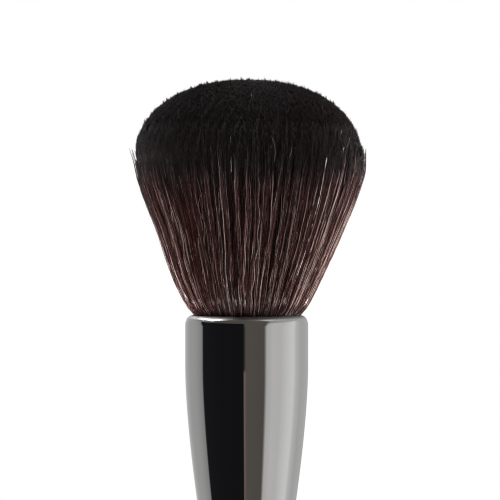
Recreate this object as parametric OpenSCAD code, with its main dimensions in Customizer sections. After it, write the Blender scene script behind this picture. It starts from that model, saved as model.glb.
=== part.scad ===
// Short-handled kabuki makeup brush, standing on its foot.
// Every piece is turned about Z. The foot rests on z = 0 and the filaments point up.
// Heights are in millimetres above the foot, and depths are measured down from the ferrule's mouth.

/* [Filament head] */
// Height of the dome above the ferrule's mouth
head_h = 48.3; // [42:0.1:56]
// Diameter of the head at its widest
head_d = 46.8; // [38:0.2:52]
// Height above the mouth at which the head is widest
head_wide_h = 31; // [26:0.5:34]
// How soon the flank spreads: 1 is a plain cone, and less bulges just above the mouth
flank_power = 0.75; // [0.6:0.05:1]
// How square the dome is: 2 is an ellipse
dome_power = 2.2; // [2:0.1:3]

/* [Ferrule] */
// Length of the ferrule from its mouth to the handle
ferrule_l = 46; // [42:0.5:56]
// Outer diameter of the straight barrel
barrel_d = 25; // [24:0.5:28]
// Depth at which the barrel starts to taper
barrel_l = 10; // [10:0.5:13]
// Outer diameter at the handle end
tail_d = 17.6; // [17:0.2:20]
// Slope of the taper at the handle end, as radius lost for each millimetre
tail_slope = 0.16; // [0.1:0.01:0.2]
// Thickness of the metal
wall = 0.5; // [0.4:0.05:0.6]
// How far the rolled lip turns inwards
lip_w = 1.5; // [1.2:0.1:1.8]
// Depth of the rolled lip
lip_h = 2; // [1.6:0.1:2.4]
// Number of crimp grooves near the handle end
crimps = 2; // [1:1:3]
// Depth of each crimp groove
crimp_depth = 0.35; // [0.2:0.05:0.4]

/* [Handle] */
// Height of the handle below the ferrule
handle_h = 34; // [30:0.5:44]
// Diameter at the waist
waist_d = 16.2; // [16:0.2:17]
// Height of the waist above the foot
waist_z = 26; // [24:0.5:27]
// Diameter of the foot
foot_d = 24; // [22:0.2:24]
// Radius that rounds the edge of the foot
foot_edge = 1.6; // [1:0.1:2]
// Length of the tenon that stands up inside the ferrule
tenon_l = 15; // [12:0.5:16]

/* [Hidden] */
$fn = 96;

// Heights shared by the pieces
mouth_z = handle_h + ferrule_l;
barrel_r = barrel_d / 2;
tail_r = tail_d / 2;
mouth_r = barrel_r - lip_w;
gap = 0.05;
tiny = 0.01;
glue_cap = 2.5;
glue_film = 0.02;

// Ferrule taper
taper_steps = 24;
taper_start_pull = 10;
taper_end_pull = 11;
crimp_w = 1.4;
crimp_pitch = 3;
crimp_first = 3.6;
crimp_steps = 8;
crimp_depths = [for (i = [crimps - 1 : -1 : 0]) ferrule_l - crimp_first - i * crimp_pitch];

// Filament head
flank_steps = 18;
dome_steps = 22;
head_r = head_d / 2;
neck_r = mouth_r - gap;
neck_l = 0.9;

// Packing, thread and resin behind the mouth
sleeve_top = lip_h + 0.2;
sleeve_l = 9.2;
sleeve_wall = 0.5;
sleeve_r = barrel_r - wall - gap;
packed_r = sleeve_r - sleeve_wall - gap;
thread_d = 0.5;
thread_turns = 6;
thread_top = 13;
waisting = 1.1;
bound_r = packed_r - waisting;
bound_top = thread_top - 0.3;
bound_bottom = thread_top + thread_turns * thread_d + 0.3;
root_l = 17.5;
root_edge = 0.6;
root_r = bound_r + 0.3;
resin_gap = 1;
resin_l = min(14, ferrule_l - tenon_l - glue_cap - bound_top - resin_gap);

// Handle inside and out
neck_pull = 0.44 * (handle_h - waist_z);
waist_pull = 8;
foot_pull = 9;
foot_side = 5;
handle_steps = 14;
tenon_fit = 0.2;
tenon_r = tail_r - wall - tenon_fit;
tenon_chamfer = 0.8;
key_groove = 0.6;
key_groove_l = 1.6;
bore_r = 6;
bore_top = 22;
bore_tip_r = 1;
bore_tip_l = 3;
cap_r = 8.5;
cap_recess = 0.3;
cap_t = 1.3;
cap_spigot_l = 2;
cap_spigot_wall = 1.2;
cap_centre_r = 3;
cap_centre_depth = 0.25;
seat_z = cap_recess + cap_t;
pad_t = 1.5;
weight_l = 14.5;
weight_chamfer = 0.8;

// Point at u, from 0 to 1, on the cubic curve with the four control points p
function bezier(p, u) = pow(1 - u, 3) * p[0] + 3 * u * pow(1 - u, 2) * p[1]
    + 3 * u * u * (1 - u) * p[2] + pow(u, 3) * p[3];

function curve(p, steps) = [for (i = [0 : steps]) bezier(p, i / steps)];

function reversed(points) = [for (i = [len(points) - 1 : -1 : 0]) points[i]];

// Profiles are lists of [radius, height]
function below_mouth(points) = [for (p = points) [p[0], mouth_z - p[1]]];

// Radius of the tapered wall at a depth below the mouth, before the crimps
taper = curve([[barrel_r, barrel_l], [barrel_r, barrel_l + taper_start_pull],
               [tail_r + tail_slope * taper_end_pull, ferrule_l - taper_end_pull],
               [tail_r, ferrule_l]], taper_steps);
taper_table = [for (p = taper) [p[1], p[0]]];

function crimp_dip(depth) = crimp_depth * max([0, for (c = crimp_depths)
    abs(depth - c) < crimp_w / 2 ? pow(cos(180 * (depth - c) / crimp_w), 2) : 0]);

function wall_r(depth) = lookup(depth, taper_table) - crimp_dip(depth);

// Depths at which the wall's outline needs a point: along the taper, and closer together in each crimp
crimp_top = crimp_depths[0] - crimp_w / 2;
plain_depths = [for (p = taper) if (p[1] > barrel_l && p[1] < crimp_top - 0.3) p[1]];
crimp_outline = [for (c = crimp_depths, i = [0 : crimp_steps])
    c + crimp_w * (i / crimp_steps - 0.5)];
wall_depths = concat([barrel_l], plain_depths, crimp_outline, [ferrule_l]);

// The wall's outline between two depths, moved inwards by inset
function wall_line(from, to, inset = 0) = concat(
    [[wall_r(from) - inset, from]],
    [for (d = wall_depths) if (d > from + tiny && d < to - tiny) [wall_r(d) - inset, d]],
    [[wall_r(to) - inset, to]]);

// A quarter turn of the rolled lip, from the barrel to the mouth, for the outside or the inside face
function lip_line(across, along) = [for (i = [0 : 8])
    [mouth_r + across * cos(i * 90 / 8), lip_h - along * sin(i * 90 / 8)]];

// Outline of the free filaments above the mouth: the spreading flank, then the dome
function flank_r(h) = neck_r + (head_r - neck_r) * pow(h / head_wide_h, flank_power);
function dome_r(h) = head_r * pow(1 - pow((h - head_wide_h) / (head_h - head_wide_h), dome_power),
                                  1 / dome_power);
flank_line = [for (i = [0 : flank_steps])
    let (h = head_wide_h * pow(i / flank_steps, 1.3)) [flank_r(h), mouth_z + h]];
dome_line = [for (i = [1 : dome_steps])
    let (h = head_wide_h + (head_h - head_wide_h) * sin(i * 90 / dome_steps))
    [i == dome_steps ? 0 : dome_r(h), mouth_z + h]];

// The filaments, as one soft solid: packed in the sleeve, bound at the root, spread and domed above
module bristle_bundle() {
    root = below_mouth([[0, root_l], [root_r, root_l], [root_r, root_l - root_edge],
                        [bound_r, bound_bottom], [bound_r, bound_top],
                        [packed_r, bound_top - waisting], [packed_r, sleeve_top],
                        [neck_r, neck_l]]);
    color([0.16, 0.11, 0.10]) rotate_extrude() polygon(concat(root, flank_line, dome_line));
}

// Waxed thread wound round the root, turn beside turn
module root_thread() {
    color([0.80, 0.76, 0.66])
        for (turn = [0 : thread_turns - 1])
            translate([0, 0, mouth_z - thread_top - (turn + 0.5) * thread_d])
                rotate_extrude()
                    translate([bound_r + thread_d / 2 + tiny, 0])
                        circle(d = thread_d - 2 * tiny, $fn = 24);
}

// Plastic sleeve that packs the filaments and backs the thin metal
module packing_sleeve() {
    color([0.20, 0.20, 0.22])
        translate([0, 0, mouth_z - sleeve_top - sleeve_l])
            difference() {
                cylinder(r = sleeve_r, h = sleeve_l);
                translate([0, 0, -1]) cylinder(r = sleeve_r - sleeve_wall, h = sleeve_l + 2);
            }
}

// Cast resin that sets the root in the ferrule
module root_resin() {
    bottom = bound_top + resin_l;
    hollow_r = bound_r + thread_d + gap;
    inside = [[0, bottom], [0, root_l + gap], [hollow_r, root_l + gap], [hollow_r, bound_top]];
    outside = wall_line(bound_top, bottom, wall + glue_film);
    color([0.78, 0.66, 0.40]) rotate_extrude() polygon(below_mouth(concat(inside, outside)));
}

// Spun and plated metal shell with a rolled mouth, a long taper and crimp grooves
module ferrule() {
    outside = concat(reversed(lip_line(lip_w, lip_h)), wall_line(barrel_l, ferrule_l));
    inside = concat(reversed(lip_line(lip_w - wall, lip_h - wall)),
                    wall_line(barrel_l, ferrule_l, wall));
    color([0.46, 0.46, 0.45])
        rotate_extrude() polygon(below_mouth(concat(outside, reversed(inside))));
}

// Adhesive that fills the taper round the tenon and covers its end
module tenon_glue() {
    top = ferrule_l - tenon_l - glue_cap;
    bottom = ferrule_l - tenon_fit;
    outside = wall_line(top, bottom, wall + glue_film);
    color([0.85, 0.82, 0.72])
        difference() {
            rotate_extrude() polygon(below_mouth(concat([[0, bottom], [0, top]], outside)));
            tenon(glue_film);
        }
}

// The handle's turned tenon, with two grooves that key the adhesive
module tenon(grow = 0) {
    r = tenon_r + grow;
    bottom = handle_h - 1;
    top = handle_h + tenon_l + grow;
    grooves = [for (share = [1 / 3, 2 / 3])
        let (low = handle_h + share * tenon_l + grow, high = low + key_groove_l - 2 * grow)
        each [[r, low], [r - key_groove, low], [r - key_groove, high], [r, high]]];
    end_face = [[r, top - tenon_chamfer], [r - tenon_chamfer, top], [0, top]];
    rotate_extrude() polygon(concat([[0, bottom], [r, bottom]], grooves, end_face));
}

// Moulded handle: waisted above, flared to the foot, and bored from below for the weight
module handle_shell() {
    neck = curve([[tail_r, handle_h], [tail_r - tail_slope * neck_pull, handle_h - neck_pull],
                  [waist_d / 2, waist_z + neck_pull / 2], [waist_d / 2, waist_z]], handle_steps / 2);
    flare = curve([[waist_d / 2, waist_z], [waist_d / 2, waist_z - waist_pull],
                   [foot_d / 2, foot_side + foot_pull], [foot_d / 2, foot_side]], handle_steps);
    edge = [for (i = [0 : 6]) [foot_d / 2 - foot_edge * (1 - cos(i * 15)),
                               foot_edge * (1 - sin(i * 15))]];
    outline = concat([[0, handle_h]], neck, [for (i = [1 : handle_steps]) flare[i]], edge, [[0, 0]]);
    color([0.05, 0.05, 0.055])
        difference() {
            union() {
                rotate_extrude() polygon(outline);
                tenon();
            }
            translate([0, 0, -1]) cylinder(r = cap_r + gap, h = seat_z + 1);
            cylinder(r = bore_r, h = bore_top);
            translate([0, 0, bore_top - tiny])
                cylinder(r1 = bore_r, r2 = bore_tip_r, h = bore_tip_l);
        }
}

// Steel slug that lowers the centre of mass
module balance_weight() {
    bottom = seat_z + cap_spigot_l + pad_t + 2 * gap;
    top = bottom + weight_l;
    r = bore_r - gap;
    end_r = r - weight_chamfer;
    color([0.62, 0.63, 0.65])
        rotate_extrude()
            polygon([[0, bottom], [end_r, bottom], [r, bottom + weight_chamfer],
                     [r, top - weight_chamfer], [end_r, top], [0, top]]);
}

// Foam disc that keeps the slug from rattling
module weight_pad() {
    color([0.30, 0.30, 0.32])
        translate([0, 0, seat_z + cap_spigot_l + gap]) cylinder(r = bore_r - 4 * gap, h = pad_t);
}

// Bare cap that closes the bore, with a ring that plugs into it
module base_cap() {
    spigot_r = bore_r - gap;
    color([0.09, 0.09, 0.10])
        difference() {
            union() {
                translate([0, 0, cap_recess]) cylinder(r = cap_r, h = cap_t);
                translate([0, 0, cap_recess]) cylinder(r = spigot_r, h = cap_t + cap_spigot_l);
            }
            translate([0, 0, seat_z]) cylinder(r = spigot_r - cap_spigot_wall, h = cap_spigot_l + 1);
            translate([0, 0, cap_recess - 1]) cylinder(r = cap_centre_r, h = 1 + cap_centre_depth);
        }
}

bristle_bundle();
root_thread();
packing_sleeve();
root_resin();
ferrule();
tenon_glue();
handle_shell();
balance_weight();
weight_pad();
base_cap();
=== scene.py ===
import math

import bpy
import numpy as np
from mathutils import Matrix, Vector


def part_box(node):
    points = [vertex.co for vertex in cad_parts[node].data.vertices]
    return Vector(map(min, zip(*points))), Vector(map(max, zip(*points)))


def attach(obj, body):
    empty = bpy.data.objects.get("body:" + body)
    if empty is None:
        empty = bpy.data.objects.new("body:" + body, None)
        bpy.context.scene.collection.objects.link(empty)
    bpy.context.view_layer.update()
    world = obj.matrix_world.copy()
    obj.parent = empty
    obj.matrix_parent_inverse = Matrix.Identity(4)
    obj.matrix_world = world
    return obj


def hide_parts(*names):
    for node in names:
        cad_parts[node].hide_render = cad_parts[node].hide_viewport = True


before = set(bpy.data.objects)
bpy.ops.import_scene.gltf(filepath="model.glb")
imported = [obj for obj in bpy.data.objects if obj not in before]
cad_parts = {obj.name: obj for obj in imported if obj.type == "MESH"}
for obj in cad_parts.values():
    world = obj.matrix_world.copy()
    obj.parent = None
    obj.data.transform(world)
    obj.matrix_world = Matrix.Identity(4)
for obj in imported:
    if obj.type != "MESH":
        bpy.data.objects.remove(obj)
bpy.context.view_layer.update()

# The looks of a kabuki makeup brush: filaments, gunmetal ferrule, black lacquered handle and its cap.
# Sizes are in millimetres and become metres where a mesh, a light or the camera is placed.
# Heights on the handle are above the foot, depths on the ferrule are below its mouth, and heights
# on the filament head are above the mouth. Azimuths turn from the camera's side towards +X.

MM = 0.001


def box_mm(node):
    """Lowest and highest corner of a CAD node, in millimetres."""
    low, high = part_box(node)
    return low / MM, high / MM


# Sizes that the frame gives
TAIL_Z, MOUTH_Z = box_mm("ferrule")[0].z, box_mm("ferrule")[1].z
BARREL_R = box_mm("ferrule")[1].x
FERRULE_L = MOUTH_Z - TAIL_Z
HEAD_R = box_mm("bristle_bundle")[1].x
HEAD_H = box_mm("bristle_bundle")[1].z - MOUTH_Z
FOOT_R = box_mm("handle_shell")[1].x
TENON_TOP = box_mm("handle_shell")[1].z
CAP_R = box_mm("base_cap")[1].x
CAP_LOW, CAP_HIGH = box_mm("base_cap")[0].z, box_mm("base_cap")[1].z

# Ferrule
TAIL_R = 8.8
TAIL_SLOPE = 0.16
BARREL_L = 10.0
TAPER_PULLS = (10.0, 11.0)
WALL = 0.5
LIP_W, LIP_H = 1.5, 2.0
LIP_R = BARREL_R - LIP_W
CRIMP_DEPTHS = (FERRULE_L - 6.6, FERRULE_L - 3.6)
CRIMP_W, CRIMP_DEEP = 1.4, 0.35

# Handle
WAIST_R, WAIST_Z = 8.1, 26.0
NECK_PULL = 0.44 * (TAIL_Z - WAIST_Z)
WAIST_PULL, FOOT_PULL, FOOT_SIDE = 8.0, 9.0, 5.0
FOOT_EDGE = 1.6
TENON_R, TENON_CHAMFER = 8.1, 0.8
BORE_R, BORE_TOP, BORE_TIP_L = 6.0, 22.0, 3.0
CAP_SEAT = 1.6
CAP_GAP = 0.05

# Filament head
HEAD_WIDE_H = 31.0
NECK_R = LIP_R - 0.25
FLANK_POWER = 0.75
DOME_POWER = 2.25
# The swell of the flank comes in over the first heights, and goes over the second, which count down
# from the widest ring
FLANK_SWELL, SWELL_RISE, SWELL_FALL = 0.4, (16, 25), (-1, 4)
HEAD_SHIFT, FLANK_SHIFT = 0.3, 0.5
LEAN_RISE, LEAN_AT_ROOT, LEAN_SHARES = (5, 19), 0.6, (0.9, 0.98)
TIP_SINK = 0.6

# Turned pieces: facets round each, the angle in degrees past which an edge stays sharp, and the
# distance at which two points are merged
SKIN_STEPS, CAP_STEPS, CORE_STEPS = 256, 128, 96
CREASE = 40
WELD = 0.002


# Number and mesh helpers

def deselect():
    bpy.ops.object.select_all(action="DESELECT")


def named(name):
    """Names the object that an operator has just made, and its mesh."""
    piece = bpy.context.object
    piece.name = piece.data.name = name
    return piece


def mix(a, b, share):
    return a + (b - a) * share


def smooth_step(x, low, high):
    t = np.clip((x - low) / (high - low), 0, 1)
    return t * t * (3 - 2 * t)


def curve(points, steps):
    """Points along the cubic curve that four control points set."""
    p = np.array(points, float)
    u = np.linspace(0, 1, steps + 1)[:, None]
    return ((1 - u) ** 3 * p[0] + 3 * u * (1 - u) ** 2 * p[1]
            + 3 * u * u * (1 - u) * p[2] + u ** 3 * p[3])


def arc(centre, radius, start, end, steps):
    """Points (radius, height) along an arc. Angles are in degrees from the outward direction."""
    a = np.radians(np.linspace(start, end, steps + 1))
    across, along = np.broadcast_to(radius, 2)
    return np.stack([centre[0] + across * np.cos(a), centre[1] + along * np.sin(a)], 1)


def lathe(name, outline, steps):
    """Draws a closed outline of (radius, height) points and spins it about Z."""
    deselect()
    bpy.ops.mesh.primitive_plane_add(size=1)
    piece = named(name)
    bpy.ops.object.mode_set(mode="EDIT")
    bpy.ops.mesh.select_all(action="SELECT")
    bpy.ops.mesh.merge(type="CENTER")
    places = [np.array([r, 0, z]) * MM for r, z in outline]
    bpy.ops.transform.translate(value=places[0])
    for here, there in zip(places, places[1:] + places[:1]):
        bpy.ops.mesh.extrude_region_move(TRANSFORM_OT_translate={"value": there - here})
    bpy.ops.mesh.select_all(action="SELECT")
    bpy.ops.mesh.remove_doubles(threshold=WELD * MM)
    bpy.ops.mesh.select_all(action="SELECT")
    bpy.ops.mesh.spin(steps=steps, angle=math.tau, center=(0, 0, 0), axis=(0, 0, 1))
    bpy.ops.mesh.select_all(action="SELECT")
    bpy.ops.mesh.remove_doubles(threshold=WELD * MM)
    bpy.ops.mesh.normals_make_consistent(inside=False)
    bpy.ops.object.mode_set(mode="OBJECT")
    bpy.ops.object.shade_smooth_by_angle(angle=math.radians(CREASE))
    return piece


# Node helpers

def add(tree, kind, settings=None, **inputs):
    """Adds a node. An input is a value, or another node's output socket to link."""
    node = tree.nodes.new(kind)
    for key, value in (settings or {}).items():
        setattr(node, key, value)
    for key, value in inputs.items():
        socket = node.inputs[int(key[1:])] if key[0] == "i" and key[1:].isdigit() else None
        socket = socket or node.inputs[key.replace("_", " ")]
        if isinstance(value, bpy.types.NodeSocket):
            tree.links.new(value, socket)
        else:
            socket.default_value = value
    return node


def maths(tree, operation, a, b, c=0.5):
    return add(tree, "ShaderNodeMath", {"operation": operation}, i0=a, i1=b, i2=c).outputs[0]


def between(tree, value, low, high, to_low=0.0, to_high=1.0):
    """Takes value from low..high to to_low..to_high, smoothly."""
    node = add(tree, "ShaderNodeMapRange", {"interpolation_type": "SMOOTHSTEP"}, Value=value,
               From_Min=low, From_Max=high, To_Min=to_low, To_Max=to_high)
    return node.outputs["Result"]


def blend_colours(tree, share, a, b):
    return add(tree, "ShaderNodeMix", {"data_type": "RGBA"}, i0=share, i6=a, i7=b).outputs[2]


def mix_heights(tree, share, a, b):
    return add(tree, "ShaderNodeMix", {"data_type": "FLOAT"}, i0=share, i2=a, i3=b).outputs[0]


def noise(tree, vector, scale, detail=2.0, roughness=0.5, form="3D"):
    return add(tree, "ShaderNodeTexNoise", {"noise_dimensions": form}, Vector=vector, Scale=scale,
               Detail=detail, Roughness=roughness).outputs["Fac"]


def scaled(tree, vector, scale):
    return add(tree, "ShaderNodeMapping", Vector=vector, Scale=scale).outputs["Vector"]


def bump(tree, height, strength, distance):
    return add(tree, "ShaderNodeBump", Height=height, Strength=strength,
               Distance=distance * MM).outputs["Normal"]


def group(name, inputs, outputs):
    """A node group with named inputs and outputs. Returns its tree, its input node and its output node."""
    tree = bpy.data.node_groups.new(name, "ShaderNodeTree")
    for label, kind, value in inputs:
        socket = tree.interface.new_socket(label, in_out="INPUT", socket_type=kind)
        if value is not None:
            socket.default_value = value
    for label, kind in outputs:
        tree.interface.new_socket(label, in_out="OUTPUT", socket_type=kind)
    return tree, tree.nodes.new("NodeGroupInput"), tree.nodes.new("NodeGroupOutput")


def use(tree, made, **inputs):
    return add(tree, "ShaderNodeGroup", {"node_tree": made}, **inputs)


FLOAT, COLOUR, VECTOR = "NodeSocketFloat", "NodeSocketColor", "NodeSocketVector"

# On the filaments' map, shades above BARE_FROM have no ink, and ROOT_V is V at the mouth
BARE_FROM = 0.97
ROOT_V = 0.1


def material(name, **sockets):
    """A material with a Principled BSDF, whose plain numbers and colours are set on its own sockets."""
    made = bpy.data.materials.new(name)
    made.use_nodes = True
    tree = made.node_tree
    shader = tree.nodes["Principled BSDF"]
    for key, value in sockets.items():
        shader.inputs[key.replace("_", " ")].default_value = value
    return made, tree, shader


def place_of(tree):
    return add(tree, "ShaderNodeTexCoord").outputs["Object"]


def from_axis(tree, parts):
    """Distance from Z of the place that a Separate XYZ node takes apart."""
    flat = add(tree, "ShaderNodeCombineXYZ", X=parts.outputs["X"], Y=parts.outputs["Y"])
    return add(tree, "ShaderNodeVectorMath", {"operation": "LENGTH"}, i0=flat.outputs[0]).outputs["Value"]


def seen_directly(tree):
    """The Light Path node, and a mask that is 1 for the rays of the camera and of reflections."""
    path = add(tree, "ShaderNodeLightPath")
    return path, maths(tree, "MAXIMUM", path.outputs["Is Camera Ray"], path.outputs["Is Glossy Ray"])


def feed(tree, shader, **sockets):
    for key, value in sockets.items():
        tree.links.new(value, shader.inputs[key.replace("_", " ")])


# Shared effects

def make_dust():
    """Sparse round specks of powder: a mask that is 1 on a speck."""
    tree, given, out = group("powder_specks", [("Vector", VECTOR, None), ("Scale", FLOAT, 900.0),
                                               ("Amount", FLOAT, 0.3), ("Size", FLOAT, 0.2)],
                             [("Mask", FLOAT)])
    cells = add(tree, "ShaderNodeTexVoronoi", Vector=given.outputs["Vector"],
                Scale=given.outputs["Scale"])
    chosen = maths(tree, "LESS_THAN", add(tree, "ShaderNodeSeparateColor",
                   Color=cells.outputs["Color"]).outputs[0], given.outputs["Amount"])
    near = maths(tree, "LESS_THAN", cells.outputs["Distance"], given.outputs["Size"])
    tree.links.new(maths(tree, "MULTIPLY", chosen, near), out.inputs["Mask"])
    return tree


def make_handling():
    """Soft smudges left by handling: a mask from 0, clean, to 1."""
    tree, given, out = group("handling_smudges", [("Vector", VECTOR, None), ("Scale", FLOAT, 60.0),
                                                  ("Cover", FLOAT, 0.5)], [("Mask", FLOAT)])
    finer, patch_edge = 9.0, 0.25
    broad = noise(tree, given.outputs["Vector"], given.outputs["Scale"], 4.0, 0.6)
    start = maths(tree, "SUBTRACT", 1.0, given.outputs["Cover"])
    fine_scale = maths(tree, "MULTIPLY", given.outputs["Scale"], finer)
    fine = noise(tree, given.outputs["Vector"], fine_scale, 2.0)
    patch = between(tree, broad, start, maths(tree, "ADD", start, patch_edge))
    tree.links.new(maths(tree, "MULTIPLY", patch, between(tree, fine, 0.3, 0.7, 0.6, 1.0)),
                   out.inputs["Mask"])
    return tree


def make_rings():
    """Fine lines left by turning or polishing round Z: a height from 0 to 1."""
    tree, given, out = group("turned_lines", [("Vector", VECTOR, None), ("Pitch", FLOAT, 0.0002)],
                             [("Height", FLOAT)])
    parts = add(tree, "ShaderNodeSeparateXYZ", Vector=given.outputs["Vector"])
    across = add(tree, "ShaderNodeCombineXYZ", X=from_axis(tree, parts), Y=parts.outputs["Z"])
    spread = maths(tree, "DIVIDE", 1.0, given.outputs["Pitch"])
    tree.links.new(noise(tree, across.outputs[0], spread, 3.0, 0.7, "2D"), out.inputs["Height"])
    return tree


def make_filament_colour():
    """Colour along a filament. U of the map picks its shade. V is ROOT_V at the mouth and 1 at the tip."""
    tree, given, out = group(
        "filament_colour",
        [("Vector", VECTOR, None), ("Length", FLOAT, 50.0), ("Tip Length", FLOAT, 5.0),
         ("Dark", COLOUR, (0, 0, 0, 1)), ("Body", COLOUR, (0, 0, 0, 1)), ("Light", COLOUR, (0, 0, 0, 1)),
         ("Tip", COLOUR, (0, 0, 0, 1)), ("Rooted", FLOAT, 1.0)],
        [("Color", COLOUR), ("Roughness", FLOAT)])
    # Patches over the map's width and to a millimetre of length
    patches_wide, painted_glints_wide, patches_long, painted_glints_long = 60.0, 70.0, 0.16, 0.4
    # Heights above the mouth over which the painted shadow at the root ends, and over which painted
    # highlight specks come and go
    painted_shadow_ends, painted_glints_start, painted_glints_end = (0.2, 2.8), (0.4, 1.2), (3.5, 7.5)
    painted_root_shadow, ink_fade = 0.6, 3.5
    # black is the colour of the painted root shadow, and pale that of the painted highlights
    black, pale = (0.0, 0.0, 0.0, 1), (0.92, 0.87, 0.85, 1)
    inkless_rough, inked_rough = 0.34, 0.6
    place = given.outputs["Vector"]
    parts = add(tree, "ShaderNodeSeparateXYZ", Vector=place)
    from_tip = maths(tree, "MULTIPLY", maths(tree, "SUBTRACT", 1.0, parts.outputs["Y"]),
                     given.outputs["Length"])
    across = maths(tree, "MULTIPLY", parts.outputs["X"], patches_wide)
    spread = add(tree, "ShaderNodeCombineXYZ", X=across,
                 Y=maths(tree, "MULTIPLY_ADD", from_tip, patches_long, across)).outputs[0]
    patchy = between(tree, noise(tree, spread, 1.0, 1.0, 0.5, "2D"), 0.3, 0.7, -0.16, 0.12)
    shade = maths(tree, "ADD", parts.outputs["X"], patchy)
    lower = blend_colours(tree, between(tree, shade, 0.05, 0.6), given.outputs["Dark"],
                          given.outputs["Body"])
    # The light shade is partly the filaments' own paler tone and partly a painted highlight
    body = blend_colours(tree, between(tree, shade, 0.62, 1.0), lower, given.outputs["Light"])
    from_mouth = maths(tree, "MULTIPLY", maths(tree, "SUBTRACT", parts.outputs["Y"], ROOT_V),
                       given.outputs["Length"])
    # Painted shadow: the filaments darken towards black just above the mouth, where the root of the bundle
    # lies in shade
    painted_root_shadow_mask = maths(tree, "MULTIPLY", between(tree, from_mouth, *painted_shadow_ends, painted_root_shadow, 0.0),
                   given.outputs["Rooted"])
    body = blend_colours(tree, painted_root_shadow_mask, body, black)
    # Painted highlights: pale specks of light on some filaments a few millimetres above the mouth, and the
    # bare filaments pale all along, as specks of light on the dome
    bare = maths(tree, "GREATER_THAN", parts.outputs["X"], BARE_FROM)
    painted_glint_place = add(tree, "ShaderNodeCombineXYZ", X=maths(tree, "MULTIPLY", parts.outputs["X"], painted_glints_wide),
                 Y=maths(tree, "MULTIPLY_ADD", from_tip, painted_glints_long, across)).outputs[0]
    painted_glint = between(tree, noise(tree, painted_glint_place, 1.0, 0.0, 0.5, "2D"), 0.80, 0.85)
    painted_glint_heights = maths(tree, "MULTIPLY", between(tree, from_mouth, *painted_glints_start),
                     between(tree, from_mouth, *painted_glints_end, 1.0, 0.0))
    painted_glint = maths(tree, "MULTIPLY", painted_glint, maths(tree, "MULTIPLY", painted_glint_heights, given.outputs["Rooted"]))
    painted_glint = maths(tree, "MAXIMUM", painted_glint, bare)
    body = blend_colours(tree, painted_glint, body, pale)
    stagger = noise(tree, scaled(tree, place, (patches_wide, 0.0, 0.0)), 1.0, 1.0, 0.5, "2D")
    start = between(tree, stagger, 0.32, 0.68, 0.0, given.outputs["Tip Length"])
    inked = between(tree, from_tip, start, maths(tree, "ADD", start, ink_fade), 1.0, 0.0)
    inked = maths(tree, "MULTIPLY", inked, maths(tree, "SUBTRACT", 1.0, bare))
    tree.links.new(blend_colours(tree, inked, body, given.outputs["Tip"]), out.inputs["Color"])
    tree.links.new(between(tree, inked, 0.0, 1.0, inkless_rough, inked_rough), out.inputs["Roughness"])
    return tree


DUST = make_dust()
SMUDGES = make_handling()
RINGS = make_rings()
FILAMENT_COLOUR = make_filament_colour()


# Materials

FINE_DUST = {"Scale": 1100.0, "Amount": 0.03, "Size": 0.1}


# rooted turns on the painted shadow and the painted highlight specks near the mouth
def make_filaments(name, length, gloss, rooted=1.0):
    """Filaments that are brown from the root and inked near-black at the tip."""
    made, tree, shader = material(name, IOR=1.55, Specular_IOR_Level=gloss)
    uv = add(tree, "ShaderNodeUVMap", {"uv_map": "OFBake"}).outputs["UV"]
    # Light is partly the filaments' own paler tone and partly a painted highlight of the light that they
    # catch
    tint = use(tree, FILAMENT_COLOUR, Vector=uv, Length=length, Rooted=rooted, Tip_Length=4.5,
               Dark=(0.014, 0.0030, 0.0028, 1), Body=(0.074, 0.026, 0.022, 1),
               Light=(0.35, 0.270, 0.244, 1), Tip=(0.0168, 0.0122, 0.0127, 1))
    feed(tree, shader, Base_Color=tint.outputs["Color"], Roughness=tint.outputs["Roughness"])
    return made


def make_core():
    """A dark material that paints the shade deep in the bundle, seen only in the gaps between filaments.
    """
    made, tree, shader = material("painted_shade_core", Roughness=0.8, Specular_IOR_Level=0.08)
    black_from, black_to = MOUTH_Z + 20, MOUTH_Z + 32
    # Painted shade: browns darker than the filaments' own low down, and near-blacks under the dome
    painted_shade_browns = (0.0072, 0.0023, 0.0021, 1), (0.019, 0.0076, 0.0069, 1)
    blacks = (0.012, 0.0090, 0.0094, 1), (0.022, 0.0168, 0.0173, 1)
    place = place_of(tree)
    streaks = noise(tree, scaled(tree, place, (1.0, 1.0, 0.04)), 2600.0, 3.0, 0.6)
    specks = noise(tree, place, 3200.0, 2.0, 0.6)
    height = add(tree, "ShaderNodeSeparateXYZ", Vector=place).outputs["Z"]
    up = between(tree, height, black_from * MM, black_to * MM)
    brown = blend_colours(tree, between(tree, streaks, 0.35, 0.75), *painted_shade_browns)
    black = blend_colours(tree, between(tree, specks, 0.4, 0.7), *blacks)
    feed(tree, shader, Base_Color=blend_colours(tree, up, brown, black),
         Normal=bump(tree, mix_heights(tree, up, streaks, specks), 0.9, 0.3))
    return made


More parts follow.
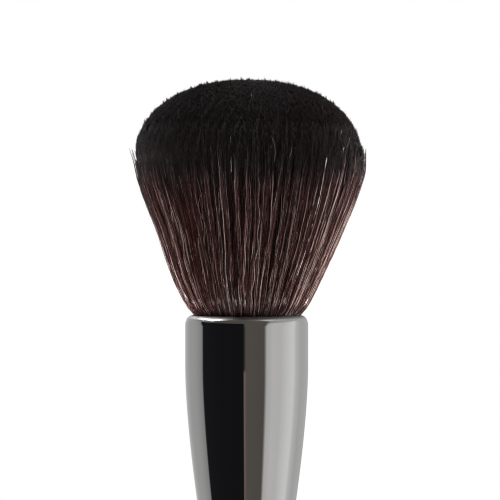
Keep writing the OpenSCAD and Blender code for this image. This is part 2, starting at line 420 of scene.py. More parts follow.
def make_gunmetal():
    made, tree, shader = material("gunmetal_plate", Metallic=1.0, Specular_Tint=(0.56, 0.56, 0.56, 1))
    plates, dusty = ((0.322, 0.322, 0.320, 1), (0.342, 0.341, 0.338, 1)), (0.42, 0.40, 0.38, 1)
    clean_rough, smudged_rough, dust_rough = 0.045, 0.085, 0.25
    # The lip's crown is duller
    crown_low, crown_high, crown_rough = MOUTH_Z - 1.1, MOUTH_Z - 0.15, 0.55
    place = place_of(tree)
    lines = use(tree, RINGS, Vector=place, Pitch=0.00016).outputs["Height"]
    smudge = use(tree, SMUDGES, Vector=place, Scale=70.0, Cover=0.45).outputs["Mask"]
    dust = use(tree, DUST, Vector=place, **FINE_DUST).outputs["Mask"]
    plate = blend_colours(tree, noise(tree, place, 140.0, 3.0), *plates)
    worn = blend_colours(tree, dust, plate, dusty)
    sheen = maths(tree, "ADD", between(tree, smudge, 0.0, 1.0, clean_rough, smudged_rough),
                  maths(tree, "MULTIPLY", dust, dust_rough))
    height = add(tree, "ShaderNodeSeparateXYZ", Vector=place).outputs["Z"]
    crown = between(tree, height, crown_low * MM, crown_high * MM, 0.0, crown_rough)
    sheen = maths(tree, "ADD", sheen, crown)
    feed(tree, shader, Base_Color=worn, Roughness=sheen, Normal=bump(tree, lines, 0.05, 0.004))
    return made


def make_lacquer():
    made, tree, shader = material("black_lacquer", IOR=1.5, Specular_IOR_Level=0.34)
    blacks, dusty = ((0.0035, 0.0035, 0.0039, 1), (0.0055, 0.0054, 0.0056, 1)), (0.05, 0.045, 0.042, 1)
    clean_rough, smudged_rough, dust_rough = 0.09, 0.17, 0.4
    place = place_of(tree)
    smudge = use(tree, SMUDGES, Vector=place, Scale=55.0, Cover=0.5).outputs["Mask"]
    dust = use(tree, DUST, Vector=place, **FINE_DUST).outputs["Mask"]
    peel = noise(tree, place, 420.0, 2.0, 0.45)
    black = blend_colours(tree, noise(tree, place, 90.0, 3.0), *blacks)
    colour = blend_colours(tree, dust, black, dusty)
    sheen = maths(tree, "ADD", between(tree, smudge, 0.0, 1.0, clean_rough, smudged_rough),
                  maths(tree, "MULTIPLY", dust, dust_rough))
    feed(tree, shader, Base_Color=colour, Roughness=sheen, Normal=bump(tree, peel, 0.10, 0.02))
    return made


def make_cap():
    made, tree, shader = material("cap_plastic", IOR=1.49)
    blacks, dusty = ((0.012, 0.012, 0.013, 1), (0.022, 0.022, 0.024, 1)), (0.13, 0.12, 0.11, 1)
    clean_rough, smudged_rough = 0.42, 0.55
    place = place_of(tree)
    grain = add(tree, "ShaderNodeTexVoronoi", {"feature": "SMOOTH_F1"}, Vector=place,
                Scale=2400.0).outputs["Distance"]
    lines = use(tree, RINGS, Vector=place, Pitch=0.0006).outputs["Height"]
    smudge = use(tree, SMUDGES, Vector=place, Scale=80.0, Cover=0.5).outputs["Mask"]
    dust = use(tree, DUST, Vector=place, Scale=600.0, Amount=0.12, Size=0.14).outputs["Mask"]
    colour = blend_colours(tree, dust, blend_colours(tree, lines, *blacks), dusty)
    feed(tree, shader, Base_Color=colour, Normal=bump(tree, grain, 0.35, 0.05),
         Roughness=between(tree, smudge, 0.0, 1.0, clean_rough, smudged_rough))
    return made


def make_plain(name, colours, pattern_scale, rough, depth, stretch=(1.0, 1.0, 1.0), **sockets):
    """A finish with two mottled colours, uneven roughness and a bump, for the pieces inside."""
    finer = 6.0
    made, tree, shader = material(name, **sockets)
    place = scaled(tree, place_of(tree), stretch)
    broad = noise(tree, place, pattern_scale, 4.0, 0.6)
    fine = noise(tree, place, pattern_scale * finer, 2.0)
    feed(tree, shader, Base_Color=blend_colours(tree, broad, *colours),
         Roughness=between(tree, fine, 0.3, 0.7, *rough), Normal=bump(tree, fine, 0.4, depth))
    return made


def dress(node, made):
    """Gives a CAD node its material."""
    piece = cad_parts[node]
    piece.data.materials.clear()
    piece.data.materials.append(made)


def finish_piece(piece, looks, slot, *nodes):
    """Dresses a new piece, rides it on the body and hides the CAD nodes that it stands for."""
    piece.data.materials.clear()
    for made in looks:
        piece.data.materials.append(made)
    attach(piece, "root")
    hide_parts(*nodes)


# Ferrule

def crimp_dip(depth):
    away = np.abs(np.subtract.outer(depth, CRIMP_DEPTHS))
    dips = np.where(away < CRIMP_W / 2, np.cos(np.pi * away / CRIMP_W) ** 2, 0)
    return CRIMP_DEEP * dips.max(axis=1)


def ferrule_wall():
    """The tapered wall as (radius, depth) points, from the barrel to the tail."""
    curve_steps, plain_rings, crimp_rings, tail_edge = 300, 40, 60, 0.8
    taper = curve([(BARREL_R, BARREL_L), (BARREL_R, BARREL_L + TAPER_PULLS[0]),
                   (TAIL_R + TAIL_SLOPE * TAPER_PULLS[1], FERRULE_L - TAPER_PULLS[1]),
                   (TAIL_R, FERRULE_L)], curve_steps)
    plain = np.linspace(BARREL_L, CRIMP_DEPTHS[0] - CRIMP_W, plain_rings)
    crimped = np.linspace(CRIMP_DEPTHS[0] - CRIMP_W / 2, CRIMP_DEPTHS[-1] + CRIMP_W / 2, crimp_rings)
    depths = np.concatenate([plain, crimped, [FERRULE_L - tail_edge, FERRULE_L]])
    radii = np.interp(depths, taper[:, 1], taper[:, 0]) - crimp_dip(depths)
    return np.stack([radii, depths], 1)


def make_ferrule():
    tail_round = 0.12
    outer_steps, inner_steps, tail_steps = 16, 10, 4
    outer_lip = arc((LIP_R, LIP_H), (LIP_W, -LIP_H), 90, 0, outer_steps)
    inner_lip = arc((LIP_R, LIP_H), (LIP_W - WALL, WALL - LIP_H), 0, 90, inner_steps)
    wall = ferrule_wall()
    outer = wall[:-1]
    inner = wall[::-1] - np.array([WALL, 0])
    tail = arc((TAIL_R - tail_round, FERRULE_L - tail_round), tail_round, 0, 90, tail_steps)
    outline = np.concatenate([outer_lip, outer, tail, inner, inner_lip])
    outline[:, 1] = MOUTH_Z - outline[:, 1]
    return lathe("ferrule_skin", outline, SKIN_STEPS)


# Handle

def make_handle():
    neck_round = 0.12
    neck_steps, flare_steps, edge_steps, recess_steps = 12, 36, 12, 4
    neck = curve([(TAIL_R, TAIL_Z - neck_round), (TAIL_R - TAIL_SLOPE * NECK_PULL, TAIL_Z - NECK_PULL),
                  (WAIST_R, WAIST_Z + NECK_PULL / 2), (WAIST_R, WAIST_Z)], neck_steps)
    flare = curve([(WAIST_R, WAIST_Z), (WAIST_R, WAIST_Z - WAIST_PULL),
                   (FOOT_R, FOOT_SIDE + FOOT_PULL), (FOOT_R, FOOT_SIDE)], flare_steps)
    shoulder = [(TENON_R, TAIL_Z), (TAIL_R - neck_round, TAIL_Z)]
    edge = arc((FOOT_R - FOOT_EDGE, FOOT_EDGE), FOOT_EDGE, 0, -90, edge_steps)
    recess_r = CAP_R + CAP_GAP
    recess_round = 0.2
    recess_edge = arc((recess_r + recess_round, recess_round), recess_round, 270, 180, recess_steps)
    inside = [(recess_r, CAP_SEAT), (BORE_R, CAP_SEAT), (BORE_R, BORE_TOP), (0, BORE_TOP + BORE_TIP_L)]
    tenon = [(0, TENON_TOP), (TENON_R - TENON_CHAMFER, TENON_TOP), (TENON_R, TENON_TOP - TENON_CHAMFER)]
    outline = np.concatenate([tenon, shoulder, neck, flare[1:], edge, recess_edge, inside])
    return lathe("handle_lacquered", outline, SKIN_STEPS)


def make_base_cap():
    edge, round_steps = 0.25, 5
    dish_r, dish_deep, dish_round = 3.0, 0.25, 0.2
    spigot_r, spigot_wall = BORE_R - CAP_GAP, 1.2
    ring_r, ring_w, ring_deep = 6.2, 0.35, 0.12
    under = [(0, CAP_LOW + dish_deep), (dish_r - dish_round, CAP_LOW + dish_deep)]
    dish = arc((dish_r, CAP_LOW + dish_deep), (dish_round, dish_deep), 180, 270, round_steps)
    ring = [(ring_r - ring_w, CAP_LOW), (ring_r - ring_w / 2, CAP_LOW + ring_deep),
            (ring_r + ring_w / 2, CAP_LOW + ring_deep), (ring_r + ring_w, CAP_LOW)]
    rim = arc((CAP_R - edge, CAP_LOW + edge), edge, -90, 0, round_steps)
    top = [(CAP_R, CAP_SEAT), (spigot_r, CAP_SEAT), (spigot_r, CAP_HIGH),
           (spigot_r - spigot_wall, CAP_HIGH), (spigot_r - spigot_wall, CAP_SEAT), (0, CAP_SEAT)]
    return lathe("foot_cap", np.concatenate([under, dish, ring, rim, top]), CAP_STEPS)


# Filaments

SIDES = 3


def spread_radius(h):
    """Radius of the bundle's outside at a height above the mouth, carried on in a straight line above
    the widest ring, as the filaments inside the dome go on spreading."""
    slope = FLANK_POWER * (HEAD_R - NECK_R) / HEAD_WIDE_H
    flank = NECK_R + (HEAD_R - NECK_R) * (np.clip(h, 0, HEAD_WIDE_H) / HEAD_WIDE_H) ** FLANK_POWER
    swell = FLANK_SWELL * smooth_step(h, *SWELL_RISE) * smooth_step(HEAD_WIDE_H - h, *SWELL_FALL)
    return flank + swell + slope * np.maximum(h - HEAD_WIDE_H, 0)


def dome_height(share):
    """Height above the mouth at which a filament at a share of the radius reaches the dome."""
    halvings = 24
    low = np.full_like(share, HEAD_WIDE_H)
    high = np.full_like(share, HEAD_H)
    for _ in range(halvings):
        middle = (low + high) / 2
        across = np.minimum(share * spread_radius(middle) / HEAD_R, 1)
        up = (middle - HEAD_WIDE_H) / (HEAD_H - HEAD_WIDE_H)
        outside = across ** DOME_POWER + up ** DOME_POWER > 1
        high = np.where(outside, middle, high)
        low = np.where(outside, low, middle)
    return low


def side_lean(share, h):
    """How far the head leans towards +X, as the photographed brush does."""
    up = smooth_step(h, *LEAN_RISE)
    return HEAD_SHIFT * mix(LEAN_AT_ROOT, 1, up) + FLANK_SHIFT * smooth_step(share, *LEAN_SHARES) * up


def strand_template(rings):
    """One three-sided filament with a pointed tip, as its corners' rings and sides and its faces."""
    deselect()
    bpy.ops.mesh.primitive_cone_add(vertices=SIDES, radius1=1, radius2=0, depth=1,
                                    end_fill_type="NGON", location=(0, 0, 0.5))
    cone = bpy.context.object
    bpy.ops.object.mode_set(mode="EDIT")
    for cut in range(1, rings - 1):
        bpy.ops.mesh.select_all(action="SELECT")
        bpy.ops.mesh.bisect(plane_co=(0, 0, cut / (rings - 1)), plane_no=(0, 0, 1))
    bpy.ops.object.mode_set(mode="OBJECT")
    mesh = cone.data
    places = np.array([v.co + cone.location for v in mesh.vertices])
    ring = np.rint(places[:, 2] * (rings - 1)).astype(int)
    turn = np.arctan2(places[:, 1], places[:, 0]) / math.tau
    side = np.rint(turn * SIDES + SIDES).astype(int) % SIDES
    faces = [list(face.vertices) for face in mesh.polygons]
    bpy.data.objects.remove(cone)
    return ring, side, faces


def strands(name, paths, widths, shades, along, template, inked_from):
    """A mesh of filaments. paths has the shape (filaments, rings, 3), in millimetres. Faces above the
    ring number in inked_from take the second material."""
    side_width, off_axis = 0.03, 1e-6
    ring, side, faces = template
    count, corners = len(paths), len(ring)
    ahead = np.gradient(paths, axis=1)
    ahead /= np.linalg.norm(ahead, axis=2, keepdims=True)
    outward = paths * np.array([1, 1, 0]) + np.array([off_axis, 0, 0])
    outward = outward - ahead * (outward * ahead).sum(2, keepdims=True)
    outward /= np.linalg.norm(outward, axis=2, keepdims=True)
    across = np.cross(ahead, outward)
    angle = math.tau * side / SIDES
    reach = widths[:, ring, None] / 2
    places = paths[:, ring] + reach * (np.cos(angle)[:, None] * outward[:, ring]
                                       + np.sin(angle)[:, None] * across[:, ring])
    loops = np.concatenate(faces)
    starts = np.concatenate([[0], np.cumsum([len(face) for face in faces])[:-1]])
    highest = np.array([ring[face].max() for face in faces])
    base = np.arange(count)[:, None]
    mesh = bpy.data.meshes.new(name)
    mesh.vertices.add(count * corners)
    mesh.vertices.foreach_set("co", (places * MM).astype(np.float32).ravel())
    mesh.loops.add(count * len(loops))
    mesh.loops.foreach_set("vertex_index", (base * corners + loops).astype(np.int32).ravel())
    mesh.polygons.add(count * len(faces))
    mesh.polygons.foreach_set("loop_start", (base * len(loops) + starts).astype(np.int32).ravel())
    mesh.polygons.foreach_set("use_smooth", np.ones(count * len(faces), bool))
    mesh.polygons.foreach_set("material_index", (highest > inked_from[:, None]).astype(np.int32).ravel())
    mesh.update(calc_edges=True)
    u = shades[:, None] * (1 - side_width) + side_shares(faces, ring, side) * side_width
    v = along[:, ring[loops]]
    layer = mesh.uv_layers.new(name="OFBake", do_init=False)
    layer.data.foreach_set("uv", np.stack([u, v], 2).astype(np.float32).ravel())
    piece = bpy.data.objects.new(name, mesh)
    bpy.context.scene.collection.objects.link(piece)
    return piece


def side_shares(faces, ring, side):
    """How far round the filament each corner of each face lies, from 0 to 1, with the seam at side 0."""
    shares = []
    for face in faces:
        around = side[face].astype(float)
        if set(side[face].tolist()) == {0, SIDES - 1}:
            around[around == 0] = SIDES
        tip = ring[face] == ring.max()
        if tip.any():
            around[tip] = around[~tip].mean()
        shares.append(around / SIDES)
    return np.concatenate(shares)


def waves(rng, count):
    """Wave numbers, phases, slants and depths of the locks that filaments gather into."""
    return (rng.integers(34, 170, count), rng.uniform(0, math.tau, count),
            rng.uniform(-0.2, 0.2, count), rng.uniform(2, 9, count))


def gathered(azimuth, share, h, locks):
    """Sideways shift and outward lift, in millimetres, that gather neighbouring filaments into locks."""
    shift_share, lift_share, layer_turn = 0.13, 0.05, 6
    shift, lift = np.zeros_like(h), np.zeros_like(h)
    for number, phase, slant, layer in zip(*locks):
        size = math.tau * HEAD_R / number / len(locks[0]) ** 0.5
        turn = number * azimuth[:, None] + phase + slant * h + layer * share[:, None] * layer_turn
        shift += shift_share * size * np.sin(turn)
        lift -= lift_share * size * np.cos(turn)
    outer = smooth_step(share, 0.2, 0.8)[:, None]
    return outer * shift * smooth_step(h, 0, 10), outer * lift * mix(0.5, 1, smooth_step(h, 0, 8))


def strand_paths(rng, azimuth, share, heights, locks, tuft, shades, drift, wiggle, dive):
    """Centre lines of filaments. heights has the shape (filaments, rings). The tips gather into tufts,
    and each filament drifts and wiggles sideways and dives under its neighbours, the light ones least."""
    tuft_from, tuft_to, tuft_pull = 8, 1, 0.45
    held_l, light_shades, light_wiggle, light_dive = 9, (0.6, 0.75), 1.7, -0.2
    count = (len(share), 1)
    top = heights[:, -1:]
    pull = smooth_step(heights, top - tuft_from, top - tuft_to) * tuft_pull
    a = azimuth[:, None] + pull * tuft[0][:, None]
    s = share[:, None] + pull * tuft[1][:, None]
    sideways, lift = gathered(azimuth, share, heights, locks)
    eased = smooth_step(heights, 0, held_l)
    top_most = smooth_step(shades, *light_shades)[:, None]
    for size, low, high in ((drift, 22, 60), (wiggle * mix(1, light_wiggle, top_most), 5, 11)):
        period = rng.uniform(low, high, count)
        amount = size * rng.beta(1.2, 2.6, count) * eased
        sideways += amount * np.sin(math.tau * heights / period + rng.uniform(0, math.tau, count))
    period = rng.uniform(14, 40, count)
    sink = dive * mix(rng.uniform(0.2, 1.2, count), light_dive, top_most) * eased
    lift -= sink * (1 + np.sin(math.tau * heights / period + rng.uniform(0, math.tau, count)))
    r = np.maximum(s * spread_radius(heights) + lift, 0.01)
    a = a + sideways / np.maximum(r, 2)
    lean = side_lean(s, heights)
    return np.stack([r * np.sin(a) + lean, -r * np.cos(a), MOUTH_Z + heights], 2)


def ring_heights(top, spaced, last):
    """Heights of the rings of each filament: evenly spaced up from the mouth, then at set distances
    from the tip, after one ring inside the mouth. With none spaced, only the end near the tip."""
    inside_l = 2.2
    ends = top[:, None] - np.array(last)
    if not spaced:
        return ends
    even = np.linspace(0, 1, spaced, endpoint=False) * (top - last[0])[:, None]
    inside = np.full((len(top), 1), -inside_l)
    return np.concatenate([inside, even, ends], 1)


def taper_widths(heights, width):
    """Width of a filament at each height: full below, and narrowing to a blunt tip."""
    tip_share, tip_l = 0.8, 5
    from_top = heights[:, -1:] - heights
    return width[:, None] * mix(tip_share, 1, smooth_step(from_top, 0, tip_l))


def map_along(heights, map_l):
    """V of the map at each height. Near the mouth it goes by the height above the mouth, and near the
    tip by the distance from the tip."""
    root_l, tip_l = 8, 12
    top = heights[:, -1:]
    by_tip = 1 - (top - heights) / map_l
    by_mouth = ROOT_V + heights / map_l
    return mix(by_mouth, by_tip, smooth_step(heights, root_l, top - tip_l))


# Shares of the tufts and of the filaments that stand out of the dome, and by how much
TALL_TUFTS, TUFT_RISE = 0.045, (0.26, 0.50)
TALL_SINGLES, SINGLE_RISE = 0.06, (0.15, 0.42)


def lay_filaments(rng, tufts, in_tuft, low, high):
    """Places of the filaments between two shares of the bundle's radius, as azimuth, share, top height
    and the way to the middle of their tuft."""
    index = np.arange(tufts) + 0.5
    cell = 1 / math.sqrt(tufts)
    tuft_share = np.abs(np.sqrt(index / tufts) + rng.normal(0, 0.25 * cell, tufts))
    tuft_azimuth = index * math.pi * (3 - math.sqrt(5)) + rng.normal(0, 0.9, tufts) / np.sqrt(index)
    offset_r = cell * 1.1 * np.sqrt(rng.uniform(0, 1, (tufts, in_tuft)))
    offset_a = rng.uniform(0, math.tau, (tufts, in_tuft))
    share = tuft_share[:, None] + offset_r * np.cos(offset_a)
    share = 1 - np.abs(1 - np.abs(share))
    side_step = offset_r * np.sin(offset_a) / np.maximum(tuft_share[:, None], cell)
    azimuth = tuft_azimuth[:, None] + side_step
    tall = np.where(rng.uniform(0, 1, (tufts, 1)) < TALL_TUFTS, rng.uniform(*TUFT_RISE, (tufts, 1)), 0)
    apart = np.random.default_rng(tufts)
    single = np.where(apart.uniform(0, 1, share.shape) < TALL_SINGLES,
                      apart.uniform(*SINGLE_RISE, share.shape), 0)
    uneven = rng.uniform(-0.09, 0.07, (tufts, 1)) + tall + single + rng.normal(0, 0.055, share.shape)
    top = dome_height(share.ravel()) + uneven.ravel() - TIP_SINK
    back_a = (tuft_azimuth[:, None] - azimuth).ravel()
    back_s = (tuft_share[:, None] - share).ravel()
    ragged = share.ravel() + rng.uniform(-0.02, 0.02, share.size)
    kept = (ragged > low) & (ragged <= high)
    return azimuth.ravel()[kept], share.ravel()[kept], top[kept], (back_a[kept], back_s[kept])


def shade_picks(rng, count, light_share, bare_share=0.0):
    """Shades from 0, dark, to 1, light. The highest shades are bare of ink to their tips."""
    common = rng.beta(1.1, 1.9, count) * 0.62
    light = rng.uniform(0.70, 0.95, count)
    shades = np.where(rng.uniform(0, 1, count) < light_share, light, common)
    return np.where(rng.uniform(0, 1, count) < bare_share, 0.99, shades)


# Shares of the bundle's radius at which its layers start
SURFACE_FROM, UNDER_FROM = 0.962, 0.83
# Azimuth, height of the foot, length, bend and turn of the strays in front
STRAYS = ((0.20, 30.4, 5.0, 0.35, -0.5), (-0.16, 28.4, 3.0, -0.1, 0.1), (0.33, 31.0, 4.0, 0.2, 0.6))
# Millimetres of a filament that V of its map spans, on long filaments and on the dome's ends
LONG_MAP, SHORT_MAP = 50.0, 14.0
SECTORS = 4


def make_layer(name, rng, laid, locks, looks, spaced, last, moves, widths, picks, map_l):
    """One layer of the bundle, as a piece for each sector. moves are the sizes of its drift, wiggle
    and dive, and picks the shares of light and of bare filaments."""
    azimuth, share, top, tuft = laid
    rings = spaced + len(last) + (1 if spaced else 0)
    template = strand_template(rings)
    sector = ((azimuth / math.tau) % 1 * SECTORS).astype(int)
    for number in range(SECTORS):
        these = np.flatnonzero(sector == number)
        h = ring_heights(top[these], spaced, last)
        shades = shade_picks(rng, len(these), *picks)
        paths = strand_paths(rng, azimuth[these], share[these], h, locks,
                             (tuft[0][these], tuft[1][these]), shades, *moves)
        width = rng.uniform(*widths, len(these))
        along = map_along(h, map_l) if spaced else 1 - (h[:, -1:] - h) / map_l
        inked = rings - 1 - rng.integers(2, 5, len(these))
        piece = strands(f"{name}_{number + 1}", paths, taper_widths(h, width), shades, along,
                        template, inked)
        finish_piece(piece, looks, "filaments", "bristle_bundle")


def make_loose(rng, locks, looks):
    """Filaments that have sprung a little way out of the flank."""
    count, spaced, last = 340, 9, (6.0, 3.5, 1.6, 0.5, 0.0)
    azimuth = rng.uniform(0, math.tau, count)
    top = HEAD_WIDE_H + 3 - 13 * rng.uniform(0, 1, count) ** 1.6
    h = ring_heights(top, spaced, last)
    shades = shade_picks(rng, count, 0.3)
    none = np.zeros(count)
    paths = strand_paths(rng, azimuth, np.ones(count), h, locks, (none, none), shades, 0.5, 0.12, 0.0)
    away = rng.uniform(0.05, 0.42, (count, 1)) * smooth_step(h, top[:, None] - 15, top[:, None] + 3)
    flat = paths[:, :, :2]
    reach = np.linalg.norm(flat, axis=2)
    flat *= (np.minimum(reach + away, HEAD_R + 0.8) / reach)[:, :, None]
    along = map_along(h, LONG_MAP)
    inked = np.full(count, h.shape[1] - 3)
    piece = strands("filaments_loose", paths, taper_widths(h, rng.uniform(0.085, 0.12, count)), shades,
                    along, strand_template(h.shape[1]), inked)
    finish_piece(piece, looks, "filaments", "bristle_bundle")


def make_strays(rng, looks):
    """Short bent filaments that lie across the others: a few in front, and the rest all round."""
    around, rings, width = 14, 9, 0.085
    azimuth, foot, length, bend, turn = (np.array(row)[:, None] for row in zip(*STRAYS, *zip(
        rng.uniform(0, math.tau, around), rng.uniform(4, HEAD_WIDE_H - 3, around),
        rng.uniform(3, 5.5, around), rng.normal(0, 0.4, around), rng.normal(0, 0.7, around))))
    count = len(azimuth)
    u = np.linspace(0, 1, rings)[None, :]
    h = foot + length * u
    rise = np.maximum(h - HEAD_WIDE_H, 0) / (HEAD_H - HEAD_WIDE_H)
    share = (1 - rise ** DOME_POWER) ** (1 / DOME_POWER)
    r = share * spread_radius(np.minimum(h, HEAD_WIDE_H)) + 0.05 - 0.3 * (1 - np.sin(math.pi * u))
    a = azimuth + (bend * np.sin(math.pi * u) + turn * u) / r
    lean = side_lean(share, h)
    paths = np.stack([r * np.sin(a) + lean, -r * np.cos(a), MOUTH_Z + h], 2)
    along = np.broadcast_to(0.2 + 0.3 * u, h.shape)
    piece = strands("filaments_stray", paths, np.full((count, rings), width),
                    rng.uniform(0.8, 0.93, count), along, strand_template(rings), np.full(count, rings))
    finish_piece(piece, looks, "filaments", "bristle_bundle")


def make_filament_pieces():
    rng = np.random.default_rng(20)
    locks = waves(rng, 16)
    shafts = make_filaments("filament_shafts", LONG_MAP, gloss=0.22)
    inked = make_filaments("filament_tips", LONG_MAP, gloss=0.06)
    short = make_filaments("filament_dome", SHORT_MAP, gloss=0.06, rooted=0.0)
    make_layer("filaments_surface", rng, lay_filaments(rng, 5600, 6, SURFACE_FROM, 2), locks,
               [shafts, inked], spaced=16, last=(7.0, 5.2, 3.6, 1.8, 0.4, 0.0), moves=(0.75, 0.26, 0.22),
               widths=(0.09, 0.135), picks=(0.13, 0.0025), map_l=LONG_MAP)
    make_layer("filaments_under", rng, lay_filaments(rng, 7000, 7, UNDER_FROM, SURFACE_FROM), locks,
               [shafts, inked], spaced=4, last=(6.5, 4.0, 1.8, 0.4, 0.0), moves=(0.4, 0.05, 0.15),
               widths=(0.11, 0.15), picks=(0.10, 0.001), map_l=LONG_MAP)
    make_layer("filaments_dome", rng, lay_filaments(rng, 7000, 8, -1, UNDER_FROM), locks,
               [short, short], spaced=0, last=(9.0, 3.0, 0.4, 0.0), moves=(0.2, 0.05, 0.1),
               widths=(0.12, 0.16), picks=(0.06, 0.0006), map_l=SHORT_MAP)
    make_loose(rng, locks, [shafts, inked])
    make_strays(rng, [shafts, inked])
    finish_piece(make_core_piece(), [make_core()], "filaments", "bristle_bundle")


def make_core_piece():
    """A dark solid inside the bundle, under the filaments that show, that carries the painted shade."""
    inset_top, inset_side = 1.2, 0.95
    h = HEAD_WIDE_H * np.linspace(0, 1, 24)
    side = np.stack([spread_radius(h) * inset_side, MOUTH_Z + h], 1)
    a = np.radians(np.linspace(0, 90, 20))[1:]
    across = HEAD_R * inset_side * np.cos(a) ** (2 / DOME_POWER)
    up = (HEAD_H - HEAD_WIDE_H - inset_top) * np.sin(a) ** (2 / DOME_POWER)
    across[-1] = 0
    dome = np.stack([across, MOUTH_Z + HEAD_WIDE_H + up], 1)
    packed_r, root_l, neck_l = 10.2, 17.5, 2
    root = [(0, MOUTH_Z - root_l), (packed_r, MOUTH_Z - root_l), (packed_r, MOUTH_Z - neck_l)]
    return lathe("painted_shade_core", np.concatenate([root, side, dome]), CORE_STEPS)


# Stage, light and camera

WALL_R, WALL_CENTRE, WALL_FACETS = 600.0, 70.0, 96


def ring_point(azimuth, distance, height):
    a = math.radians(azimuth)
    return np.array([math.sin(a) * distance, -math.cos(a) * distance, height]) * MM


def make_wall(name, elevations, glow, stops, lean=(0.0, 0.0)):
    """A curved studio wall that only reflections see. elevations are those of its lower and upper
    edge, glow is as bright as its brightest colour or brighter, stops are its azimuths with their
    colours, and lean turns the sides of the lower and upper edge backwards, in degrees."""
    deselect()
    bpy.ops.mesh.primitive_grid_add(x_subdivisions=WALL_FACETS, y_subdivisions=1, size=1)
    wall = named(name)
    low, high = (WALL_CENTRE + WALL_R * math.tan(math.radians(e)) for e in elevations)
    for v in wall.data.vertices:
        up = v.co.y + 0.5
        back = mix(*lean, up) * math.sin(v.co.x * math.tau)
        v.co = ring_point(v.co.x * 360 + back, WALL_R, mix(low, high, up))
    made = bpy.data.materials.new(name)
    made.use_nodes = True
    tree = made.node_tree
    tree.nodes.clear()
    across = add(tree, "ShaderNodeSeparateXYZ", Vector=add(tree, "ShaderNodeUVMap").outputs["UV"])
    ramp = add(tree, "ShaderNodeValToRGB", Fac=across.outputs["X"])
    shades = ramp.color_ramp.elements
    while len(shades) < len(stops):
        shades.new(0.5)
    for number, (azimuth, colour) in enumerate(stops):
        shades[number].position = (azimuth + 180) / 360
        shades[number].color = [*np.broadcast_to(colour, 3) / glow, 1]
    light = add(tree, "ShaderNodeEmission", Color=ramp.outputs["Color"], Strength=glow)
    add(tree, "ShaderNodeOutputMaterial", Surface=light.outputs[0])
    wall.data.materials.append(made)
    wall.visible_camera = wall.visible_diffuse = wall.visible_shadow = False
    wall.visible_transmission = False


def make_floor():
    """A pale floor round the foot that fades into the white surround."""
    floor_r, fade_from, fade_to = 1.2, 0.03, 0.095
    deselect()
    bpy.ops.mesh.primitive_circle_add(vertices=128, radius=floor_r, fill_type="TRIFAN")
    floor = named("floor")
    made, tree, shader = material("floor", Base_Color=(0.93, 0.93, 0.93, 1), Roughness=0.8)
    away = from_axis(tree, add(tree, "ShaderNodeSeparateXYZ", Vector=place_of(tree)))
    white = add(tree, "ShaderNodeEmission", Color=(1, 1, 1, 1), Strength=1.0)
    seen = seen_directly(tree)[1]
    fade = maths(tree, "MULTIPLY", between(tree, away, fade_from, fade_to), seen)
    both = add(tree, "ShaderNodeMixShader", i0=fade, i1=shader.outputs[0], i2=white.outputs[0])
    tree.links.new(both.outputs[0], tree.nodes["Material Output"].inputs["Surface"])
    floor.data.materials.append(made)
    floor.visible_glossy = False


def make_world():
    """A surround that looks white, and lights the object with a share of that."""
    light_share = 0.34
    world = bpy.data.worlds.new("studio")
    bpy.context.scene.world = world
    world.use_nodes = True
    tree = world.node_tree
    path, seen = seen_directly(tree)
    seen = maths(tree, "MAXIMUM", seen, path.outputs["Is Transmission Ray"])
    background = tree.nodes["Background"]
    background.inputs["Color"].default_value = (1, 1, 1, 1)
    tree.links.new(between(tree, seen, 0.0, 1.0, light_share, 1.0), background.inputs["Strength"])


def make_lamp(name, azimuth, distance, height, size, radiance, aim=105.0, spread=180.0, diffuse=True,
              glossy=True):
    """A softbox. Its power is worked out from how bright its face looks, and spread is how wide its
    light fans out, in degrees."""
    lamp = bpy.data.lights.new(name, "AREA")
    lamp.shape = "RECTANGLE"
    lamp.size, lamp.size_y = size[0] * MM, size[1] * MM
    lamp.energy = radiance * math.pi * lamp.size * lamp.size_y
    lamp.spread = math.radians(spread)
    holder = bpy.data.objects.new(name, lamp)
    holder.location = ring_point(azimuth, distance, height)
    back = holder.location - type(holder.location)((0, 0, aim * MM))
    holder.rotation_euler = back.to_track_quat("Z", "Y").to_euler()
    holder.visible_camera = False
    holder.visible_diffuse, holder.visible_glossy = diffuse, glossy
    bpy.context.scene.collection.objects.link(holder)


def make_lamps():
    # Name, azimuth, distance, height, width and height of the face, and how bright it looks
    make_lamp("side_right", 82, 200, 32, (200, 60), 33.0, glossy=False)
    make_lamp("side_left", -93, 150, 14, (150, 40), 10.8, aim=70.0, spread=50.0, glossy=False)
    make_lamp("lip_light", -105, 400, 600, (460, 230), 16.0, aim=80.0, diffuse=False)
    make_lamp("root_light", -15, 300, 22, (220, 30), 1.2, aim=86.0, glossy=False)
    make_lamp("rim_top", 140, 260, 560, (380, 260), 4.2, aim=120.0, glossy=False)
    make_lamp("top", 45, 180, 520, (320, 320), 1.5, glossy=False)
    make_lamp("fill_front", 25, 700, 260, (500, 400), 0.6, glossy=False)


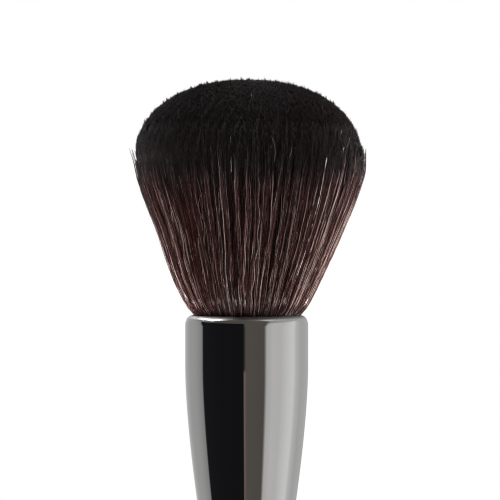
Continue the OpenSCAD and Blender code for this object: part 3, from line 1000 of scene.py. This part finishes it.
def make_walls():
    """The surroundings that the metal shows: a dark flag on the left, a brown one in front, a light panel
    on the right and white beyond."""
    black, deep, brown = (0.024, 0.024, 0.027), (0.017, 0.017, 0.020), (0.225, 0.198, 0.174)
    rust = (0.42, 0.29, 0.26)
    left = [(-180, 1.5), (-150, 1.42), (-130, 1.0), (-108, 0.83), (-95, 0.66), (-90, 0.56), (-88, black),
            (-50, (0.018, 0.018, 0.022)), (-5.2, deep)]
    right = [(33, (0.192, 0.178, 0.162)), (38, 1.08), (50, (1.28, 1.24, 1.21)), (66, 1.22), (86, 1.52),
             (97, 1.62), (106, 1.25), (122, 1.08), (136, 1.26), (152, 1.42), (166, 0.8)]
    upper = [(-180, 0.9), (-122, 0.62), (-72, 0.4), (-50, (0.17, 0.15, 0.14))]
    make_wall("wall_low", (-50, -3.9), 1.7, left + [(-4.2, rust), (-2.4, rust), (-1, brown)] + right)
    make_wall("wall_barrel", (-3.9, 2), 1.7, left + [(-4.2, (0.07, 0.06, 0.056)),
                                                     (-2, (0.17, 0.145, 0.128)), (-0.5, brown)] + right)
    make_wall("wall_lip", (2, 27), 1.7, left + [(-4.2, (0.09, 0.08, 0.07)), (-2, brown)] + right, (0, 12))
    make_wall("wall_high", (27, 52), 1.6, upper + [
        (0, (0.20, 0.18, 0.16)), (34, (0.22, 0.20, 0.18)), (42, 0.72), (90, 0.98), (150, 0.9)], (15, 22))
    make_wall("wall_top", (52, 80), 2.2, upper + [
        (0, (0.22, 0.20, 0.18)), (24, (0.40, 0.38, 0.36)), (40, 1.9), (90, 2.2), (150, 0.9)], (22, 25))


def make_camera():
    """The photograph's view, level and square, with a scale that holds at the brush's axis."""
    frame_px, axis_px, mouth_px = 500.0, 246.5, 315.2
    mm_per_px, distance = 0.2028, 500.0
    width = frame_px * mm_per_px
    aim = np.array([(frame_px / 2 - axis_px) * mm_per_px, 0,
                    MOUTH_Z + (mouth_px - frame_px / 2) * mm_per_px])
    place = aim - np.array([0, distance, 0])
    data = bpy.data.cameras.new("camera")
    data.sensor_width = 36.0
    data.lens = data.sensor_width * distance / width
    data.clip_start, data.clip_end = 0.01, 20.0
    camera = bpy.data.objects.new("camera", data)
    camera.location = place * MM
    camera.rotation_euler = (math.radians(90), 0, 0)
    bpy.context.scene.collection.objects.link(camera)
    bpy.context.scene.camera = camera


# Assembly

make_camera()
make_world()
make_lamps()
make_walls()
make_floor()

make_filament_pieces()
finish_piece(make_ferrule(), [make_gunmetal()], "gunmetal_plate", "ferrule")
finish_piece(make_handle(), [make_lacquer()], "black_lacquer", "handle_shell")
finish_piece(make_base_cap(), [make_cap()], "cap_plastic", "base_cap")

dress("root_thread", make_plain(
    "waxed_thread", [(0.50, 0.43, 0.31, 1), (0.62, 0.56, 0.43, 1)], pattern_scale=900.0,
    rough=(0.45, 0.7), depth=0.06, stretch=(1.0, 1.0, 3.0)))
dress("packing_sleeve", make_plain(
    "sleeve_plastic", [(0.035, 0.035, 0.04, 1), (0.05, 0.05, 0.055, 1)], pattern_scale=400.0,
    rough=(0.4, 0.55), depth=0.02))
dress("root_resin", make_plain(
    "cast_resin", [(0.50, 0.36, 0.13, 1), (0.60, 0.45, 0.20, 1)], pattern_scale=180.0,
    rough=(0.12, 0.25), depth=0.03, IOR=1.55))
dress("tenon_glue", make_plain(
    "adhesive", [(0.60, 0.55, 0.40, 1), (0.70, 0.66, 0.52, 1)], pattern_scale=250.0,
    rough=(0.3, 0.45), depth=0.04, IOR=1.5))
dress("balance_weight", make_plain(
    "slug_steel", [(0.50, 0.51, 0.53, 1), (0.60, 0.60, 0.61, 1)], pattern_scale=350.0,
    rough=(0.2, 0.35), depth=0.02, stretch=(1.0, 1.0, 8.0), Metallic=1.0))
dress("weight_pad", make_plain(
    "foam_pad", [(0.07, 0.07, 0.075, 1), (0.11, 0.11, 0.115, 1)], pattern_scale=1500.0,
    rough=(0.8, 0.95), depth=0.12))

bpy.context.scene.view_settings.view_transform = "Standard"
bpy.context.scene.cycles.filter_width = 1.2
